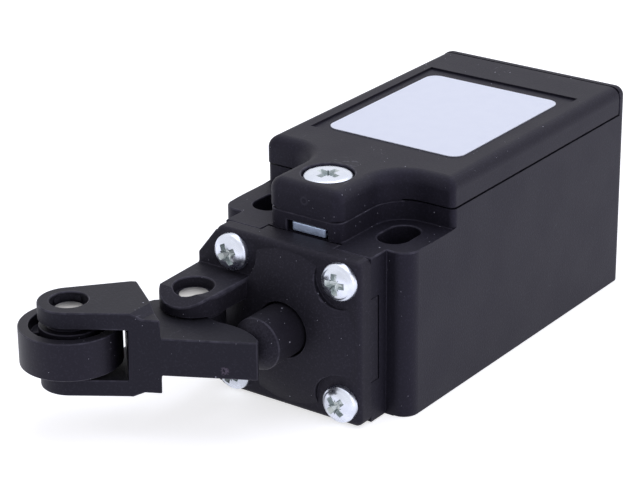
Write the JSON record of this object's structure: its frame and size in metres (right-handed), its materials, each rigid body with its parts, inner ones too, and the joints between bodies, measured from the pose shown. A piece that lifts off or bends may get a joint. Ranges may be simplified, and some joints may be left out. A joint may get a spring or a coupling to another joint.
{
  "type": "limit switch",
  "caption": "Plastic limit switch with a side roller lever that pushes a plunger, a screwed cover and slotted fixing lugs.",
  "frame": {"origin": "midpoint between the centres of the two fixing slots, on the flat mounting face", "axes": "+Z out of the cover and away from the mounting face, +Y from the operating head to the cable entry, +X to the right seen from the head"},
  "size_m": [0.0419, 0.0872, 0.03],
  "materials": {
    "housing_plastic": "moulded, fine matt grain",
    "cover_plastic": "moulded, fine matt grain",
    "head_plastic": "moulded, fine matt grain",
    "lever_plastic": "moulded, satin",
    "roller_plastic": "turned, satin",
    "plunger_plastic": "moulded, satin",
    "label_film": "printed film, blank, satin",
    "zinc_plate": "bright zinc plate",
    "pin_steel": "ground pin ends",
    "spring_steel": "drawn wire",
    "seal_rubber": "moulded nitrile rubber",
    "contact_brass": "stamped strip",
    "block_plastic": "moulded, matt",
    "carrier_plastic": "moulded, matt"
  },
  "bodies": {
    "base": {"housing": "housing_plastic", "cover": "cover_plastic", "cover_gasket": "seal_rubber", "cover_screw": "zinc_plate", "screw_ring": "seal_rubber", "plate_nut": "zinc_plate", "rating_label": "label_film", "head": "head_plastic", "head_screws": "zinc_plate", "head_gasket": "seal_rubber", "plunger_seal": "seal_rubber", "plunger_spring": "spring_steel", "lever_pin": "pin_steel", "block_case": "block_plastic", "block_lid": "block_plastic", "return_spring": "spring_steel", "opening_contact_right": "contact_brass", "opening_contact_left": "contact_brass", "closing_contact_right": "contact_brass", "closing_contact_left": "contact_brass", "terminal_screws": "zinc_plate", "terminal_clamps": "zinc_plate"},
    "lever_arm": {"lever": "lever_plastic", "roller_pin": "pin_steel"},
    "roller_wheel": {"roller": "roller_plastic"},
    "plunger_rod": {"plunger": "plunger_plastic"},
    "carrier": {"contact_carrier": "carrier_plastic", "opening_bridge": "contact_brass", "closing_bridge": "contact_brass", "opening_spring": "spring_steel", "closing_spring": "spring_steel"}
  },
  "joints": [
    {"name": "lever_hinge", "type": "hinge", "parent": "base", "child": "lever_arm", "pos_m": [-0.0103, -0.0171, 0.0117], "axis": [0, 0, 1], "range_deg": [0, 24], "stiffness_Nm_per_rad": 0.1},
    {"name": "roller_spin", "type": "hinge", "parent": "lever_arm", "child": "roller_wheel", "pos_m": [-0.0202, -0.0301, 0.0117], "axis": [0, 0, 1], "continuous": true},
    {"name": "plunger_slide", "type": "slide", "parent": "base", "child": "plunger_rod", "axis": [0, 1, 0], "range_m": [0, 0.0043], "deforming": ["plunger_spring"]},
    {"name": "carrier_slide", "type": "slide", "parent": "base", "child": "carrier", "axis": [0, 1, 0], "range_m": [0, 0.0043], "deforming": ["return_spring"]}
  ],
  "couplings": [
    {"joint": "plunger_slide", "follows": "lever_hinge", "m_per_rad": 0.0102},
    {"joint": "carrier_slide", "follows": "lever_hinge", "m_per_rad": 0.0102}
  ]
}
